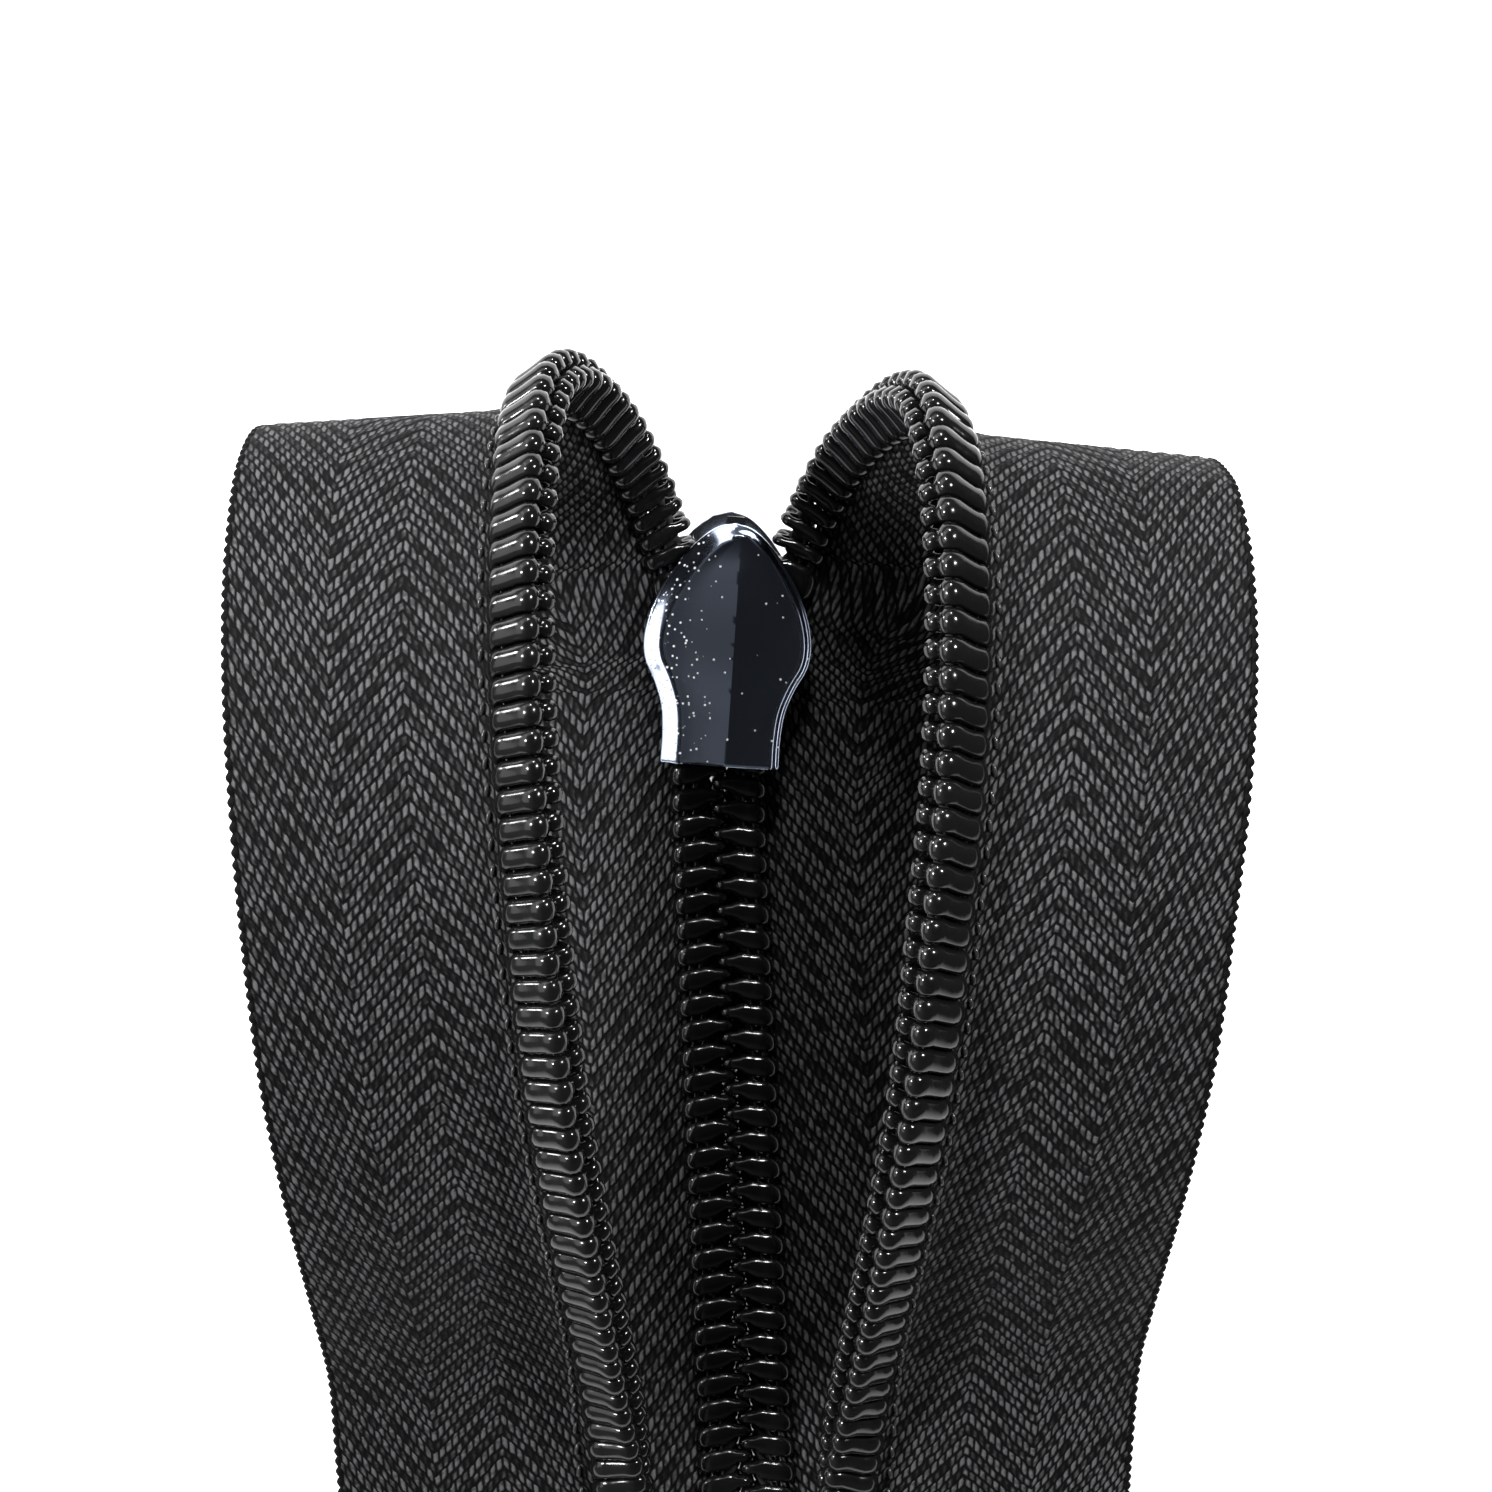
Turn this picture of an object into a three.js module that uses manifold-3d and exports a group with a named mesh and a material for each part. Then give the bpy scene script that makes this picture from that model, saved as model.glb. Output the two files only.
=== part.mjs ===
// No. 5 nylon coil zipper, coil side up, with its slider near the top.  Both stringers run
// together below the slider, part above it, loop over and come back down on the closed tapes.
// Millimetres, +Z up, +Y along the chain towards the slider's mouth, +X to the right.
import * as THREE from 'three';
import Module from 'manifold-3d';
import { mergeVertices } from 'three/addons/utils/BufferGeometryUtils.js';

const wasm = await Module();
wasm.setup();

// ---- driving dimensions -------------------------------------------------------------------
const FRAME_SHIFT = [-1.7553, 21.0287, 0.0226];   // origin under the middle of the box
const TAPE_START = -66;                  // Y of the cut lower end of the tapes
const LOW_HEIGHT = 1.4;                  // tape's middle above the table at that end
const CHAIN_SLOPE = 0.052;               // rise of the chain per mm of Y
const STRAIGHT_END = -6;                 // Y where the closed chain stops being straight

const COIL_OUT = 3.0;                    // closed chain is 6 mm wide
const COIL_IN = 0.12;
const COIL_HALF = 1.15;                  // coil is 2.3 mm thick
const WIRE = 0.7;
const CORE_RADIUS = 0.35;
const CORE_AT = 1.3;                     // distance of the core cord from the line of heads
const CORE_SIDES = 6;
const TAPE_COLUMNS = [1.85, 3.2, 4.6, 5.6, 9.5, 13.8, 18.2];   // across, from inner to outer edge
const TAPE_THICK = 0.55;
const THREAD = 0.22;
const NEEDLE_A_AT = 1.5;                 // the same for the rows of sewing thread
const NEEDLE_B_AT = 2.1;
const LOOPER_AT = 2.4;

const SLIDER_AXIS_X = 0.2;               // slider's axis where it crosses Y = 0
const SLIDER_LEAN = 0.111;               // its X per mm of Y: the slider sits cocked on the chain
const CHANNEL_HALF = 1.65;
const PLATE = 1.0;
const SLOT_HALF = 0.5;
const EDGE = 0.6;                        // chamfer round the front plate
const REAR_WIDER = 1.04;                 // the rear plate is a little larger all round
const REAR_LONGER = 1.045;
const REAR_ASIDE = 0.3;                  // and sits this far to the left
const OUTSIDE = CHANNEL_HALF + PLATE;
const SLIDER_REACH = 16;                 // longer than the slider, for cutting blocks
const NECK_HALF = 3.22;                  // channel's half width over the closed chain
const CAP_FROM = 1.2;
const CAP_TO = 11.5;
const CAP_HALF = 1.9;
const CAP_DEPTH = 2.15;
const CAP_WALL = 0.7;
const CAP_ROOF = 0.5;
const HINGE = [5.4, -3.75];              // pull's crossbar in the slider: along, across
const HINGE_WINDOW = 1.2;                // half length of the cap's opening for the crossbar
const HINGE_DROP = 0.62;                 // how far that opening goes below the crossbar's middle
const CROSSBAR_RADIUS = 0.5;
const CROSSBAR_LENGTH = 5.6;

const HEAD_TILT = 36;                    // degrees the coil stands up on the loop
const TILT_FROM = 74;                    // distance along the stringer where the tilt sets in
const TILT_FULL = 92;
const LANDING = [22, 7];                 // the tilt fades out this far before the upper end
const TAPE_DROOP = 5;                    // degrees the closed tapes fall towards the table
const YAW = { left: 0.03, right: 0.16 }; // how far each loop's fold turns down on its outer side
const YAW_RUN = [80, 98, 112, 135];      // where along the stringer that sets in and fades out
const BAY = 3.2;                         // distance between sections on the loops
const WALK = 0.25;                       // step when walking out across the tape
const SHEAR = 0.65;                      // share of a fold's lean that the flat tape takes up
const SHEAR_ACROSS = [3, 6];             // where across the tape each turn sets in and is full
const DROOP_ACROSS = [4.6, 5.4];
const TILT_ACROSS = [2.2, 6];

const chainHeight = (y) => LOW_HEIGHT + (y - TAPE_START) * CHAIN_SLOPE;
const axisX = (y) => SLIDER_AXIS_X + SLIDER_LEAN * y;

// ---- the line of the heads on each stringer -----------------------------------------------
const shared = [
  [0, TAPE_START], [0, -45], [0, -25], [0, STRAIGHT_END], [0.03, -3.2], [0.12, -1],
  [axisX(1), 1], [axisX(3), 3], [axisX(4.6), 4.6],
].map(([x, y]) => [x, y, chainHeight(y)]);

const leftRoute = [
  [axisX(7.2) - 0.4, 7.2, chainHeight(7.2)], [axisX(10) - 1.45, 10, chainHeight(10)],
  [axisX(12) - 2.3, 12, chainHeight(12)], [-1.1, 13.6, 5.7], [-1.75, 15.6, 6.5],
  [-2.5, 17.7, 8.3], [-3.4, 19.6, 11], [-4.5, 21.5, 14.2], [-5.7, 22.8, 17.6], [-6.9, 23.2, 21],
  [-7.9, 22.3, 25], [-8.55, 19.5, 28.8], [-8.95, 15.4, 31.5], [-9.2, 11, 33], [-9.35, 5, 33.6],
  [-9.3, -2, 33.1], [-9.1, -9.3, 31.7], [-8.75, -17.2, 28.8], [-8.2, -23.5, 25.2],
  [-7.6, -29, 21], [-6.9, -35.5, 14.6], [-6.4, -40.5, 9.6], [-6.15, -43.8, 6.9],
  [-6, -47, 5.2], [-5.9, -50.5, 4.45], [-5.9, -54, 4.25],
];

const rightRoute = [
  [axisX(7.2) + 0.4, 7.2, chainHeight(7.2)], [axisX(10) + 1.45, 10, chainHeight(10)],
  [axisX(12) + 2.5, 12, chainHeight(12)], [4.55, 13.6, 5.7], [5.45, 15.5, 6.6],
  [6.5, 17.3, 8.4], [7.7, 19, 11], [8.95, 20.2, 14.2], [10.2, 21, 17.6], [11.3, 21.2, 21],
  [12.2, 20.6, 25], [12.75, 18.4, 28.8], [13, 14.8, 31.5], [13, 10.5, 33], [12.75, 5, 33.6],
  [12.15, -2, 33.1], [11.2, -9.3, 31.7], [10.15, -17.2, 28.8], [9, -23.5, 25.2],
  [7.85, -29, 21], [6.45, -35.5, 14.6], [5.3, -40.5, 9.6], [4.75, -43.8, 6.9],
  [4.6, -47, 5.2], [4.7, -50.5, 4.45], [4.8, -54, 4.25],
];

// ---- stringer sections --------------------------------------------------------------------
const smooth = (x, low, high) => {
  const t = Math.min(1, Math.max(0, (x - low) / (high - low)));
  return t * t * (3 - 2 * t);
};

const radians = THREE.MathUtils.degToRad;

// Frame of one section: where it is, how its rulings lean and how far the coil is tilted up.
function sectionAt(curve, length, distance, side) {
  const yaw = (side > 0 ? YAW.right : YAW.left) * smooth(distance, YAW_RUN[0], YAW_RUN[1])
    * (1 - smooth(distance, YAW_RUN[2], YAW_RUN[3]));
  const at = distance / length;
  const centre = curve.getPointAt(at);
  const tangent = curve.getTangentAt(at);
  const outward = new THREE.Vector3(side, -yaw, 0).normalize();
  const lean = outward.dot(tangent);
  const across = outward.addScaledVector(tangent, -lean).normalize();
  const normal = new THREE.Vector3().crossVectors(across, tangent).multiplyScalar(side);
  const left = length - distance;
  return { centre, tangent, across, normal, lean: Math.asin(lean), distance, left };
}

// Direction across the tape, and its surface normal, at u mm from the line of heads.
function rulingAt(section, u) {
  const ramp = smooth(section.distance, TILT_FROM, TILT_FULL);
  const shear = section.lean * SHEAR * smooth(u, SHEAR_ACROSS[0], SHEAR_ACROSS[1]);
  const falling = smooth(u, DROOP_ACROSS[0], DROOP_ACROSS[1]);
  const droop = radians(-TAPE_DROOP) * (1 - ramp) * falling;
  const stand = ramp * smooth(section.left, LANDING[1], LANDING[0]);
  const standing = 1 - smooth(u, TILT_ACROSS[0], TILT_ACROSS[1]);
  const tilt = radians(HEAD_TILT) * stand * standing + droop;
  const along = section.across.clone().multiplyScalar(Math.cos(shear));
  along.addScaledVector(section.tangent, Math.sin(shear));
  const direction = along.clone().multiplyScalar(Math.cos(tilt));
  direction.addScaledVector(section.normal, Math.sin(tilt));
  const up = along.multiplyScalar(-Math.sin(tilt));
  up.addScaledVector(section.normal, Math.cos(tilt));
  return { direction, up };
}

// Point u mm out along the tape's curved middle and w mm above it.
function pointAt(section, u, w) {
  const steps = Math.max(1, Math.ceil(u / WALK));
  const point = section.centre.clone();
  for (let i = 0; i < steps; i += 1) {
    const { direction } = rulingAt(section, ((i + 0.5) * u) / steps);
    point.addScaledVector(direction, u / steps);
  }
  return point.addScaledVector(rulingAt(section, u).up, w);
}

function volumeOf(vertices, faces) {
  const [a, b, c] = [new THREE.Vector3(), new THREE.Vector3(), new THREE.Vector3()];
  let total = 0;
  for (const face of faces) {
    a.fromArray(vertices, face[0] * 3);
    b.fromArray(vertices, face[1] * 3);
    c.fromArray(vertices, face[2] * 3);
    total += a.dot(b.cross(c)) / 6;
  }
  return total;
}

function solid(vertices, faces) {
  const outward = volumeOf(vertices, faces) > 0;
  const order = outward ? faces : faces.map(([a, b, c]) => [a, c, b]);
  const geometry = new THREE.BufferGeometry();
  geometry.setAttribute('position', new THREE.Float32BufferAttribute(vertices, 3));
  geometry.setIndex(order.flat());
  geometry.computeVertexNormals();
  return geometry;
}

// Sweeps a closed outline of [u, w] points through a run of sections.
function sweep(sections, outline) {
  const vertices = [];
  const faces = [];
  const n = outline.length;
  for (const section of sections) {
    for (const [u, w] of outline) vertices.push(...pointAt(section, u, w).toArray());
  }
  for (let i = 0; i + 1 < sections.length; i += 1) {
    for (let k = 0; k < n; k += 1) {
      const a = i * n + k;
      const b = i * n + ((k + 1) % n);
      faces.push([a, b, a + n], [b, b + n, a + n]);
    }
  }
  const flat = outline.map(([u, w]) => new THREE.Vector2(u, w));
  const wound = THREE.ShapeUtils.isClockWise(flat);
  const last = (sections.length - 1) * n;
  for (const [a, b, c] of THREE.ShapeUtils.triangulateShape(flat, [])) {
    faces.push(wound ? [a, b, c] : [a, c, b]);
    faces.push(wound ? [a + last, c + last, b + last] : [a + last, b + last, c + last]);
  }
  return solid(vertices, faces);
}

const box = (u0, u1, w0, w1) => [[u0, w0], [u1, w0], [u1, w1], [u0, w1]];

// The coil's outer shape: two rows of legs joined by the heads, open towards the tape.
const coilOutline = [
  [COIL_IN, -COIL_HALF], [COIL_OUT, -COIL_HALF], [COIL_OUT, WIRE - COIL_HALF],
  [COIL_IN + WIRE, WIRE - COIL_HALF], [COIL_IN + WIRE, COIL_HALF - WIRE],
  [COIL_OUT, COIL_HALF - WIRE], [COIL_OUT, COIL_HALF], [COIL_IN, COIL_HALF],
];

function tapeOutline() {
  const top = TAPE_COLUMNS.map((u) => [u, TAPE_THICK / 2]);
  const bottom = TAPE_COLUMNS.map((u) => [u, -TAPE_THICK / 2]);
  return [...bottom, ...top.reverse()];
}

function ringOutline(u, radius, sides) {
  const points = [];
  for (let k = 0; k < sides; k += 1) {
    const angle = ((k + 0.5) * 2 * Math.PI) / sides;
    points.push([u + radius * Math.cos(angle), radius * Math.sin(angle)]);
  }
  return points;
}

// A stop is a metal staple closed over the edge of the tape, in line with the coil.
const STOP_IN = 0.15;
const STOP_WEB = 1.5;
const STOP_OUT = 3.5;
const STOP_HALF = 1.55;
const stopOutline = [
  [STOP_IN, -STOP_HALF], [STOP_OUT, -STOP_HALF], [STOP_OUT, -SLOT_HALF], [STOP_WEB, -SLOT_HALF],
  [STOP_WEB, SLOT_HALF], [STOP_OUT, SLOT_HALF], [STOP_OUT, STOP_HALF], [STOP_IN, STOP_HALF],
];

function stations(length, from, to) {
  const list = [from];
  const bend = STRAIGHT_END - TAPE_START + 0.1;
  const start = Math.max(from, bend);
  const count = Math.max(1, Math.round((to - start) / BAY));
  if (to > bend) for (let i = 0; i <= count; i += 1) list.push(start + ((to - start) * i) / count);
  else list.push(to);
  return list.filter((value, index) => index === 0 || value - list[index - 1] > 0.05);
}

// ---- materials ----------------------------------------------------------------------------
const material = (color, roughness, metalness) =>
  new THREE.MeshStandardMaterial({ color, roughness, metalness });
const cloth = () => material(0x1d1d1f, 0.9, 0);
const nylon = () => material(0x0b0b0c, 0.3, 0);
const yarn = () => material(0x17171a, 0.8, 0);
const nickel = () => material(0x4a4c52, 0.2, 1);

const zipper = new THREE.Group();
zipper.position.set(...FRAME_SHIFT);

function add(parent, name, geometry, look) {
  const mesh = new THREE.Mesh(geometry, look);
  mesh.name = name;
  parent.add(mesh);
  return mesh;
}

// ---- the two stringers --------------------------------------------------------------------
const STOP_FROM = 3.4;                   // bottom stop's place along the tapes
const STOP_TO = 6.9;
const COIL_FROM = 7.3;
const TOP_STOP_BEFORE_END = 5;
const TOP_STOP_LENGTH = 3;
const COIL_TO_STOP = 0.4;                // clearances
const THREAD_LIFT = 0.05;

function stringer(name, side, route) {
  const points = [...shared, ...route].map((p) => new THREE.Vector3(...p));
  const curve = new THREE.CatmullRomCurve3(points, false, 'centripetal');
  curve.arcLengthDivisions = 2000;
  const length = curve.getLength();
  const run = (from, to) =>
    stations(length, from, to).map((s) => sectionAt(curve, length, s, side));
  const stop = length - TOP_STOP_BEFORE_END;
  const chain = run(COIL_FROM, stop - COIL_TO_STOP);
  const legTop = COIL_HALF + THREAD_LIFT;
  const row = (u, w) => box(u, u + THREAD, w, w + THREAD);

  add(zipper, `${name}_tape`, sweep(run(0, length), tapeOutline()), cloth());
  add(zipper, `${name}_coil`, sweep(chain, coilOutline), nylon());
  const core = ringOutline(CORE_AT, CORE_RADIUS, CORE_SIDES);
  add(zipper, `${name}_core_cord`, sweep(chain, core), yarn());
  add(zipper, `${name}_needle_thread_a`, sweep(chain, row(NEEDLE_A_AT, legTop)), yarn());
  add(zipper, `${name}_needle_thread_b`, sweep(chain, row(NEEDLE_B_AT, legTop)), yarn());
  add(zipper, `${name}_looper_thread`, sweep(chain, row(LOOPER_AT, -legTop - THREAD)), yarn());
  add(zipper, `${name}_top_stop`, sweep(run(stop, stop + TOP_STOP_LENGTH), stopOutline), nickel());
}

stringer('left', -1, leftRoute);
stringer('right', 1, rightRoute);

// ---- solids joined and cut ----------------------------------------------------------------
function toManifold(geometry) {
  const bare = geometry.index ? geometry.toNonIndexed() : geometry.clone();
  bare.deleteAttribute('normal');
  bare.deleteAttribute('uv');
  const merged = mergeVertices(bare, 1e-5);
  return new wasm.Manifold(new wasm.Mesh({
    numProp: 3,
    vertProperties: new Float32Array(merged.attributes.position.array),
    triVerts: new Uint32Array(merged.index.array),
  }));
}

function fromManifold(manifold) {
  const mesh = manifold.getMesh();
  const geometry = new THREE.BufferGeometry();
  geometry.setAttribute('position', new THREE.BufferAttribute(mesh.vertProperties, 3));
  geometry.setIndex(new THREE.BufferAttribute(mesh.triVerts, 1));
  geometry.computeVertexNormals();
  return geometry;
}

// A block standing on an outline in the slider's plane, from height low to high.
function slab(points, low, high) {
  const shape = new THREE.Shape(points);
  const geometry = new THREE.ExtrudeGeometry(shape, { depth: high - low, bevelEnabled: false });
  geometry.translate(0, 0, low);
  return toManifold(geometry);
}

// The same with both ends chamfered.
function chamferedSlab(points, low, high) {
  const geometry = new THREE.ExtrudeGeometry(new THREE.Shape(points), {
    depth: high - low - 2 * EDGE,
    bevelThickness: EDGE,
    bevelSize: EDGE,
    bevelOffset: -EDGE,
    bevelSegments: 1,
  });
  geometry.translate(0, 0, low + EDGE);
  return toManifold(geometry);
}

function block(x0, x1, y0, y1, z0, z1) {
  const geometry = new THREE.BoxGeometry(x1 - x0, y1 - y0, z1 - z0);
  geometry.translate((x0 + x1) / 2, (y0 + y1) / 2, (z0 + z1) / 2);
  return toManifold(geometry);
}

// ---- bottom stop: one clamp over both tapes -----------------------------------------------
const chainAngle = Math.atan(CHAIN_SLOPE);
const chainGroup = new THREE.Group();
chainGroup.position.set(0, TAPE_START, LOW_HEIGHT);
chainGroup.rotation.x = chainAngle;
zipper.add(chainGroup);
const BAR_BELOW = 1.4;                   // the clamp is thinner on the reverse
const PAST = 1;                          // cutting blocks reach this far past what they cut
const slotBlock = (x0, x1) =>
  block(x0, x1, STOP_FROM - PAST, STOP_TO + PAST, -SLOT_HALF, SLOT_HALF);
const slots = slotBlock(STOP_WEB, STOP_OUT + PAST).add(slotBlock(-STOP_OUT - PAST, -STOP_WEB));
const stopBar = block(-STOP_OUT, STOP_OUT, STOP_FROM, STOP_TO, -BAR_BELOW, STOP_HALF)
  .subtract(slots);
add(chainGroup, 'bottom_stop', fromManifold(stopBar), nickel());

// ---- slider -------------------------------------------------------------------------------
const sliderGroup = new THREE.Group();
sliderGroup.position.set(SLIDER_AXIS_X, 0, chainHeight(0));
sliderGroup.rotation.set(chainAngle, 0, -Math.atan(SLIDER_LEAN));
zipper.add(sliderGroup);

// Half outline of the plates, from the neck's end up the right side to the nose.
const halfPlate = [
  [3.55, 0], [3.55, 1.8], [3.72, 3.4], [4.25, 4.9], [4.85, 6.1], [5.03, 7.2],
  [4.85, 8.6], [4.25, 10.3], [3.25, 12], [2.15, 13.4], [1.05, 14.3], [0, 14.6],
];
const mirrored = halfPlate.slice(0, -1).reverse().map(([x, y]) => [-x, y]);
const plate = [...halfPlate, ...mirrored].map(([x, y]) => new THREE.Vector2(x, y));
const rearPlate = plate.map(({ x, y }) => new THREE.Vector2(
  x * REAR_WIDER - REAR_ASIDE, y * REAR_LONGER));

const channel = [
  [NECK_HALF, -PAST], [NECK_HALF, 4.6], [4.05, 5.8], [4.5, 7.2], [4.6, 9], [5.8, 10],
  [5.8, SLIDER_REACH], [-5.8, SLIDER_REACH], [-5.8, 10], [-4.6, 9], [-4.5, 7.2], [-4.05, 5.8],
  [-NECK_HALF, 4.6], [-NECK_HALF, -PAST],
].map(([x, y]) => new THREE.Vector2(x, y));

const post = [[0, 7.9], [0.35, 8.8], [0.75, 11], [0.8, 13.6], [0.5, 15]];
const postOutline = [...post, ...post.slice(1).reverse().map(([x, y]) => [-x, y])]
  .map(([x, y]) => new THREE.Vector2(x, y));

const POST_SINK = 0.3;                   // the post runs this far into each plate
const lockHole = block(-0.6, 0.6, 8.7, 10.4, -OUTSIDE - PAST, 0);
const belowSlot = block(-6, 6, -PAST, SLIDER_REACH, -PAST, SLOT_HALF);
const frontSolid = chamferedSlab(plate, SLOT_HALF - EDGE, OUTSIDE).subtract(belowSlot);
const sliderSolid = frontSolid
  .add(slab(rearPlate, -OUTSIDE, -SLOT_HALF))
  .subtract(slab(channel, -CHANNEL_HALF, CHANNEL_HALF))
  .add(slab(postOutline, -CHANNEL_HALF - POST_SINK, CHANNEL_HALF + POST_SINK))
  .subtract(lockHole);
add(sliderGroup, 'slider_body', fromManifold(sliderSolid), nickel());

// The cap bridges the back plate and holds the pull's crossbar and the lock spring.
const capTop = -OUTSIDE - 0.1;
const capInside = CAP_HALF - CAP_WALL;
const capHollow = block(-capInside, capInside, CAP_FROM + CAP_WALL, CAP_TO - CAP_WALL,
  capTop - CAP_DEPTH + CAP_ROOF, capTop + PAST);
const capWindow = block(-CAP_HALF - PAST, CAP_HALF + PAST, HINGE[0] - HINGE_WINDOW,
  HINGE[0] + HINGE_WINDOW, HINGE[1] - HINGE_DROP, capTop + PAST);
const capSolid = block(-CAP_HALF, CAP_HALF, CAP_FROM, CAP_TO, capTop - CAP_DEPTH, capTop)
  .subtract(capHollow)
  .subtract(capWindow);
add(sliderGroup, 'slider_cap', fromManifold(capSolid), nickel());

// Leaf spring under the cap, with the pin that locks between the coils.
const leaf = block(-0.9, 0.9, 2.3, 10.3, -2.98, -2.75)
  .add(block(-0.35, 0.35, 9.2, 9.9, -2.8, -1.8));
add(sliderGroup, 'lock_spring', fromManifold(leaf), nickel());

// ---- pull: lies level under the closed chain, its crossbar through the cap ------------------
sliderGroup.updateMatrix();
const hingePoint = new THREE.Vector3(0, ...HINGE).applyMatrix4(sliderGroup.matrix);
const pullGroup = new THREE.Group();
pullGroup.position.copy(hingePoint);
pullGroup.rotation.z = -Math.atan(SLIDER_LEAN);
zipper.add(pullGroup);

const PULL_DROP = -0.3;
const PULL_HALF = 0.55;
const pullHalf = [[3.15, 0.5], [3.15, -7.4], [3.9, -9.6], [4.1, -20], [3.2, -22.6], [1.6, -23.6]];
const pullPlate = [...pullHalf, ...pullHalf.slice().reverse().map(([x, y]) => [-x, y])]
  .map(([x, y]) => new THREE.Vector2(x, y));
const crossbarGeometry = new THREE.CylinderGeometry(
  CROSSBAR_RADIUS, CROSSBAR_RADIUS, CROSSBAR_LENGTH, 12);
crossbarGeometry.rotateZ(Math.PI / 2);
const PULL_WINDOW = [2.35, -7];          // half width and far end of the opening round the cap
const pullSolid = slab(pullPlate, PULL_DROP - PULL_HALF, PULL_DROP + PULL_HALF)
  .subtract(block(-PULL_WINDOW[0], PULL_WINDOW[0], PULL_WINDOW[1], PAST, -PAST, PAST))
  .add(toManifold(crossbarGeometry));
add(pullGroup, 'pull_tab', fromManifold(pullSolid), nickel());

export default zipper;
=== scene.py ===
"""Looks of a No. 5 black coil zipper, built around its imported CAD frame.

Lengths in this script are millimetres until a mesh is made, which is then in metres.
A point on a stringer is (s, u, w): s along the line of the heads from the lower cut end,
u across the tape from that line, and w out of the tape towards the coil side.
"""

import math

import bmesh
import bpy
import numpy as np
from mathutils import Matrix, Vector


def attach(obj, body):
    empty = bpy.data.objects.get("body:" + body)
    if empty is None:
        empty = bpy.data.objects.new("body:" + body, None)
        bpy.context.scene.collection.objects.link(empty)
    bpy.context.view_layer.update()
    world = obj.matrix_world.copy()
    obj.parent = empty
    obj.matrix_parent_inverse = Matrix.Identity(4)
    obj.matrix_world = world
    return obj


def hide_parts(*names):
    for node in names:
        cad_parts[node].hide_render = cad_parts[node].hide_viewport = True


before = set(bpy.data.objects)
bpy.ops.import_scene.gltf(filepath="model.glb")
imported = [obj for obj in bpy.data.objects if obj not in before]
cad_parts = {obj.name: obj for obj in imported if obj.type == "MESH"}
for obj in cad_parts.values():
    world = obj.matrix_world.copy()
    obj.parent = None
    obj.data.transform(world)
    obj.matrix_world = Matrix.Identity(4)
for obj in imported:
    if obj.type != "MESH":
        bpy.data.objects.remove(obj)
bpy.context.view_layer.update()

MM = 0.001

# ---- the frame, as in the CAD part --------------------------------------------------------
SHIFT = np.array([-1.7553, 21.0287, 0.0226])
TAPE_START = -66.0
LOW_HEIGHT = 1.4
CHAIN_SLOPE = 0.052
AXIS_X, AXIS_LEAN = 0.2, 0.111      # slider's axis on the chain
HEAD_TILT = math.radians(36)
TAPE_DROOP = math.radians(-5)
TILT_FROM, TILT_FULL = 74.0, 92.0
LANDING = (7.0, 22.0)                # the tilt fades out this far before the upper end
YAW = {-1: 0.03, 1: 0.16}            # how far each loop's fold turns down on its outer side
YAW_RUN = (80, 98, 112, 135)         # where along the stringer that sets in and fades out
SHEAR = 0.65                         # share of a fold's lean that the flat tape takes up
SHEAR_ACROSS = (3, 6)                # where across the tape each turn sets in and is full
DROOP_ACROSS = (4.6, 5.4)
TILT_ACROSS = (2.2, 6)

PITCH = 1.55
WIRE = 0.35                          # radius
COIL_OUT = 3.0
COIL_HALF = 1.15
TAPE_IN, TAPE_OUT = 1.75, 18.15
TAPE_HALF = 0.24
COIL_FROM = 7.3
STOP_BEFORE_END = 5.0

# ---- camera -------------------------------------------------------------------------------
CAMERA_DISTANCE = 315.0              # from the lens to the chain
FRAME_WIDTH = 90.98                  # width of the picture at the chain
CHAIN_PLANE = 3.0
CAMERA_OVER = (1.86, 1.0)            # point of the chain under the lens
CAMERA_ROLL = -math.atan(0.043)
SENSOR = 36.0


def chain_height(y):
    return LOW_HEIGHT + (y - TAPE_START) * CHAIN_SLOPE


def axis_x(y):
    return AXIS_X + AXIS_LEAN * y


def make_camera():
    data = bpy.data.cameras.new("camera")
    data.sensor_width = SENSOR
    data.lens = SENSOR * CAMERA_DISTANCE / FRAME_WIDTH
    data.clip_start = 0.01
    data.clip_end = 20
    camera = bpy.data.objects.new("camera", data)
    x, y = CAMERA_OVER[0] + SHIFT[0], CAMERA_OVER[1] + SHIFT[1]
    camera.location = (x * MM, y * MM, (CHAIN_PLANE + CAMERA_DISTANCE + SHIFT[2]) * MM)
    camera.rotation_euler = (0, 0, CAMERA_ROLL)
    bpy.context.scene.collection.objects.link(camera)
    bpy.context.scene.camera = camera


make_camera()

# ---- the lines of the heads ---------------------------------------------------------------
SHARED = [(x, y, chain_height(y)) for x, y in (
    (0, TAPE_START), (0, -45), (0, -25), (0, -6), (0.03, -3.2), (0.12, -1),
    (axis_x(1), 1), (axis_x(3), 3), (axis_x(4.6), 4.6))]

LEFT_ROUTE = [
    (axis_x(7.2) - 0.4, 7.2, chain_height(7.2)), (axis_x(10) - 1.45, 10, chain_height(10)),
    (axis_x(12) - 2.3, 12, chain_height(12)), (-1.1, 13.6, 5.7), (-1.75, 15.6, 6.5),
    (-2.5, 17.7, 8.3), (-3.4, 19.6, 11), (-4.5, 21.5, 14.2), (-5.7, 22.8, 17.6),
    (-6.9, 23.2, 21), (-7.9, 22.3, 25), (-8.55, 19.5, 28.8), (-8.95, 15.4, 31.5),
    (-9.2, 11, 33), (-9.35, 5, 33.6), (-9.3, -2, 33.1), (-9.1, -9.3, 31.7),
    (-8.75, -17.2, 28.8), (-8.2, -23.5, 25.2), (-7.6, -29, 21), (-6.9, -35.5, 14.6),
    (-6.4, -40.5, 9.6), (-6.15, -43.8, 6.9), (-6, -47, 5.2), (-5.9, -50.5, 4.45),
    (-5.9, -54, 4.25)]

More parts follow.
